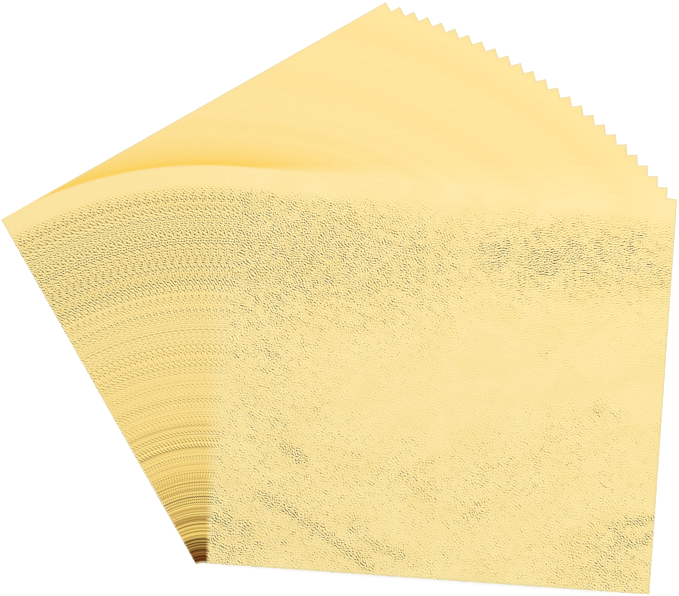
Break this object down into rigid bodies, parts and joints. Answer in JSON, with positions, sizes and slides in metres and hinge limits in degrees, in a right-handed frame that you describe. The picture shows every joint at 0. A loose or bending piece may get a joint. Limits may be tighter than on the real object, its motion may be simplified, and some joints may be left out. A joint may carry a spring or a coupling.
{
  "type": "fanned stack of gold leaf sheets",
  "caption": "Loose square-cut sheets of crinkled gold-coloured metal leaf, each on its tissue, fanned about a shared corner and lying flat.",
  "frame": {"origin": "on the table, under the middle of the fan's outline", "axes": "+Z up out of the table; +Y up and +X right in the picture taken straight down"},
  "size_m": [0.1364, 0.1196, 0.0025],
  "materials": {
    "gold_leaf": "thin hammered metal foil, pale gold, satin with fine crinkles",
    "tissue": "thin white tissue, matt"
  },
  "bodies": {
    "sheet_01": {"tissue_01": "tissue"},
    "top_leaf": {"gold_leaf_01": "gold_leaf"},
    "sheet_02": {"tissue_02": "tissue", "gold_leaf_02": "gold_leaf"},
    "sheet_03": {"tissue_03": "tissue", "gold_leaf_03": "gold_leaf"},
    "sheet_04": {"tissue_04": "tissue", "gold_leaf_04": "gold_leaf"},
    "sheet_05": {"tissue_05": "tissue", "gold_leaf_05": "gold_leaf"},
    "sheet_06": {"tissue_06": "tissue", "gold_leaf_06": "gold_leaf"},
    "sheet_07": {"tissue_07": "tissue", "gold_leaf_07": "gold_leaf"},
    "sheet_08": {"tissue_08": "tissue", "gold_leaf_08": "gold_leaf"},
    "sheet_09": {"tissue_09": "tissue", "gold_leaf_09": "gold_leaf"},
    "sheet_10": {"tissue_10": "tissue", "gold_leaf_10": "gold_leaf"},
    "sheet_11": {"tissue_11": "tissue", "gold_leaf_11": "gold_leaf"},
    "sheet_12": {"tissue_12": "tissue", "gold_leaf_12": "gold_leaf"},
    "sheet_13": {"tissue_13": "tissue", "gold_leaf_13": "gold_leaf"},
    "sheet_14": {"tissue_14": "tissue", "gold_leaf_14": "gold_leaf"},
    "sheet_15": {"tissue_15": "tissue", "gold_leaf_15": "gold_leaf"},
    "sheet_16": {"tissue_16": "tissue", "gold_leaf_16": "gold_leaf"},
    "sheet_17": {"tissue_17": "tissue", "gold_leaf_17": "gold_leaf"},
    "sheet_18": {"tissue_18": "tissue", "gold_leaf_18": "gold_leaf"},
    "sheet_19": {"tissue_19": "tissue", "gold_leaf_19": "gold_leaf"},
    "sheet_20": {"tissue_20": "tissue", "gold_leaf_20": "gold_leaf"},
    "sheet_21": {"tissue_21": "tissue", "gold_leaf_21": "gold_leaf"},
    "sheet_22": {"tissue_22": "tissue", "gold_leaf_22": "gold_leaf"},
    "sheet_23": {"tissue_23": "tissue", "gold_leaf_23": "gold_leaf"},
    "sheet_24": {"tissue_24": "tissue", "gold_leaf_24": "gold_leaf"},
    "sheet_25": {"tissue_25": "tissue", "gold_leaf_25": "gold_leaf"}
  },
  "joints": [
    {"name": "fan_spread", "type": "hinge", "parent": "sheet_25", "child": "sheet_01", "pos_m": [-0.02714, -0.0576, 0], "axis": [0, 0, -1], "range_deg": [-33.53, 26.47]},
    {"name": "sheet_02_turn", "type": "hinge", "parent": "sheet_25", "child": "sheet_02", "pos_m": [-0.02714, -0.0576, 0], "axis": [0, 0, -1], "range_deg": [-32.14, 25.38]},
    {"name": "sheet_03_turn", "type": "hinge", "parent": "sheet_25", "child": "sheet_03", "pos_m": [-0.02714, -0.0576, 0], "axis": [0, 0, -1], "range_deg": [-30.74, 24.28]},
    {"name": "sheet_04_turn", "type": "hinge", "parent": "sheet_25", "child": "sheet_04", "pos_m": [-0.02714, -0.0576, 0], "axis": [0, 0, -1], "range_deg": [-29.35, 23.17]},
    {"name": "sheet_05_turn", "type": "hinge", "parent": "sheet_25", "child": "sheet_05", "pos_m": [-0.02714, -0.0576, 0], "axis": [0, 0, -1], "range_deg": [-27.95, 22.07]},
    {"name": "sheet_06_turn", "type": "hinge", "parent": "sheet_25", "child": "sheet_06", "pos_m": [-0.02714, -0.0576, 0], "axis": [0, 0, -1], "range_deg": [-26.55, 20.97]},
    {"name": "sheet_07_turn", "type": "hinge", "parent": "sheet_25", "child": "sheet_07", "pos_m": [-0.02714, -0.0576, 0], "axis": [0, 0, -1], "range_deg": [-25.16, 19.86]},
    {"name": "sheet_08_turn", "type": "hinge", "parent": "sheet_25", "child": "sheet_08", "pos_m": [-0.02714, -0.0576, 0], "axis": [0, 0, -1], "range_deg": [-23.76, 18.76]},
    {"name": "sheet_09_turn", "type": "hinge", "parent": "sheet_25", "child": "sheet_09", "pos_m": [-0.02714, -0.0576, 0], "axis": [0, 0, -1], "range_deg": [-22.36, 17.66]},
    {"name": "sheet_10_turn", "type": "hinge", "parent": "sheet_25", "child": "sheet_10", "pos_m": [-0.02714, -0.0576, 0], "axis": [0, 0, -1], "range_deg": [-20.96, 16.55]},
    {"name": "sheet_11_turn", "type": "hinge", "parent": "sheet_25", "child": "sheet_11", "pos_m": [-0.02714, -0.0576, 0], "axis": [0, 0, -1], "range_deg": [-19.57, 15.45]},
    {"name": "sheet_12_turn", "type": "hinge", "parent": "sheet_25", "child": "sheet_12", "pos_m": [-0.02714, -0.0576, 0], "axis": [0, 0, -1], "range_deg": [-18.17, 14.35]},
    {"name": "sheet_13_turn", "type": "hinge", "parent": "sheet_25", "child": "sheet_13", "pos_m": [-0.02714, -0.0576, 0], "axis": [0, 0, -1], "range_deg": [-16.77, 13.25]},
    {"name": "sheet_14_turn", "type": "hinge", "parent": "sheet_25", "child": "sheet_14", "pos_m": [-0.02714, -0.0576, 0], "axis": [0, 0, -1], "range_deg": [-15.38, 12.14]},
    {"name": "sheet_15_turn", "type": "hinge", "parent": "sheet_25", "child": "sheet_15", "pos_m": [-0.02714, -0.0576, 0], "axis": [0, 0, -1], "range_deg": [-13.98, 11.04]},
    {"name": "sheet_16_turn", "type": "hinge", "parent": "sheet_25", "child": "sheet_16", "pos_m": [-0.02714, -0.0576, 0], "axis": [0, 0, -1], "range_deg": [-12.58, 9.94]},
    {"name": "sheet_17_turn", "type": "hinge", "parent": "sheet_25", "child": "sheet_17", "pos_m": [-0.02714, -0.0576, 0], "axis": [0, 0, -1], "range_deg": [-11.19, 8.83]},
    {"name": "sheet_18_turn", "type": "hinge", "parent": "sheet_25", "child": "sheet_18", "pos_m": [-0.02714, -0.0576, 0], "axis": [0, 0, -1], "range_deg": [-9.79, 7.73]},
    {"name": "sheet_19_turn", "type": "hinge", "parent": "sheet_25", "child": "sheet_19", "pos_m": [-0.02714, -0.0576, 0], "axis": [0, 0, -1], "range_deg": [-8.39, 6.63]},
    {"name": "sheet_20_turn", "type": "hinge", "parent": "sheet_25", "child": "sheet_20", "pos_m": [-0.02714, -0.0576, 0], "axis": [0, 0, -1], "range_deg": [-7, 5.53]},
    {"name": "sheet_21_turn", "type": "hinge", "parent": "sheet_25", "child": "sheet_21", "pos_m": [-0.02714, -0.0576, 0], "axis": [0, 0, -1], "range_deg": [-5.6, 4.42]},
    {"name": "sheet_22_turn", "type": "hinge", "parent": "sheet_25", "child": "sheet_22", "pos_m": [-0.02714, -0.0576, 0], "axis": [0, 0, -1], "range_deg": [-4.2, 3.32]},
    {"name": "sheet_23_turn", "type": "hinge", "parent": "sheet_25", "child": "sheet_23", "pos_m": [-0.02714, -0.0576, 0], "axis": [0, 0, -1], "range_deg": [-2.8, 2.22]},
    {"name": "sheet_24_turn", "type": "hinge", "parent": "sheet_25", "child": "sheet_24", "pos_m": [-0.02714, -0.0576, 0], "axis": [0, 0, -1], "range_deg": [-1.41, 1.11]},
    {"name": "leaf_lift", "type": "slide", "parent": "sheet_01", "child": "top_leaf", "axis": [0, 0, 1], "range_m": [0, 0.03]}
  ],
  "couplings": [
    {"joint": "sheet_02_turn", "follows": "fan_spread", "ratio": 0.95833},
    {"joint": "sheet_03_turn", "follows": "fan_spread", "ratio": 0.91667},
    {"joint": "sheet_04_turn", "follows": "fan_spread", "ratio": 0.875},
    {"joint": "sheet_05_turn", "follows": "fan_spread", "ratio": 0.83333},
    {"joint": "sheet_06_turn", "follows": "fan_spread", "ratio": 0.79167},
    {"joint": "sheet_07_turn", "follows": "fan_spread", "ratio": 0.75},
    {"joint": "sheet_08_turn", "follows": "fan_spread", "ratio": 0.70833},
    {"joint": "sheet_09_turn", "follows": "fan_spread", "ratio": 0.66667},
    {"joint": "sheet_10_turn", "follows": "fan_spread", "ratio": 0.625},
    {"joint": "sheet_11_turn", "follows": "fan_spread", "ratio": 0.58333},
    {"joint": "sheet_12_turn", "follows": "fan_spread", "ratio": 0.54167},
    {"joint": "sheet_13_turn", "follows": "fan_spread", "ratio": 0.5},
    {"joint": "sheet_14_turn", "follows": "fan_spread", "ratio": 0.45833},
    {"joint": "sheet_15_turn", "follows": "fan_spread", "ratio": 0.41667},
    {"joint": "sheet_16_turn", "follows": "fan_spread", "ratio": 0.375},
    {"joint": "sheet_17_turn", "follows": "fan_spread", "ratio": 0.33333},
    {"joint": "sheet_18_turn", "follows": "fan_spread", "ratio": 0.29167},
    {"joint": "sheet_19_turn", "follows": "fan_spread", "ratio": 0.25},
    {"joint": "sheet_20_turn", "follows": "fan_spread", "ratio": 0.20833},
    {"joint": "sheet_21_turn", "follows": "fan_spread", "ratio": 0.16667},
    {"joint": "sheet_22_turn", "follows": "fan_spread", "ratio": 0.125},
    {"joint": "sheet_23_turn", "follows": "fan_spread", "ratio": 0.083333},
    {"joint": "sheet_24_turn", "follows": "fan_spread", "ratio": 0.041667}
  ]
}
